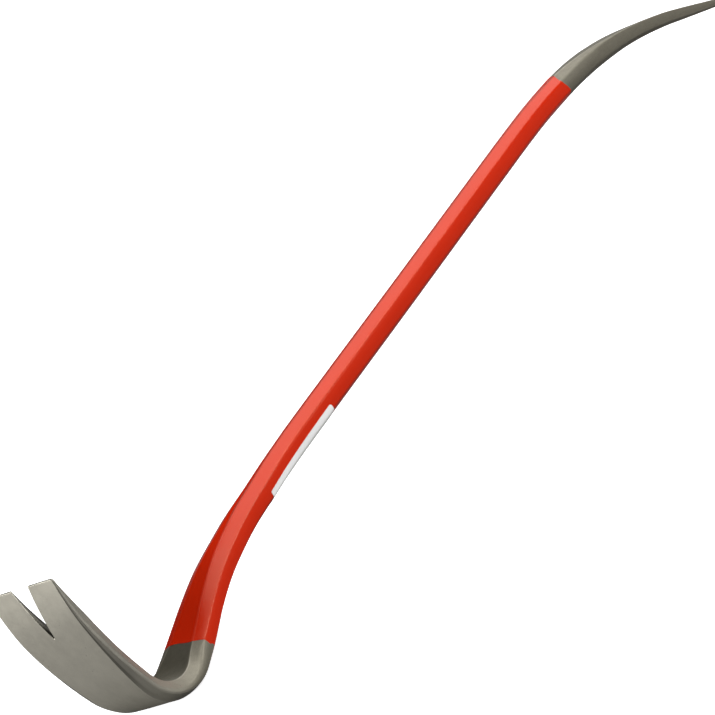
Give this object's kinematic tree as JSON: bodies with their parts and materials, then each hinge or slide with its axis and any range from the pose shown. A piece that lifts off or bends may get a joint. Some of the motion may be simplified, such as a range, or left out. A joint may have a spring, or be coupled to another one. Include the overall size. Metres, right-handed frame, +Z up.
{
  "type": "crowbar",
  "caption": "Hexagon steel gooseneck wrecking bar with a drawn chisel end, a tight fulcrum heel, a split nail-pulling claw, a red coat on the shank and a bare white sticker.",
  "frame": {"origin": "on the surface the bar rests on, under the middle of its bounding box", "axes": "+X from the claw to the chisel, +Y across the bar, +Z up, the way the claw points"},
  "size_m": [0.7782, 0.05, 0.1066],
  "materials": {
    "forged_steel": "forged and ground steel under a clear satin lacquer",
    "red_coat": "semi-gloss red enamel",
    "sticker_white": "bare white coated paper"
  },
  "bodies": {
    "root": {"forged_bar": "forged_steel", "red_coat": "red_coat", "sticker": "sticker_white"}
  },
  "joints": []
}
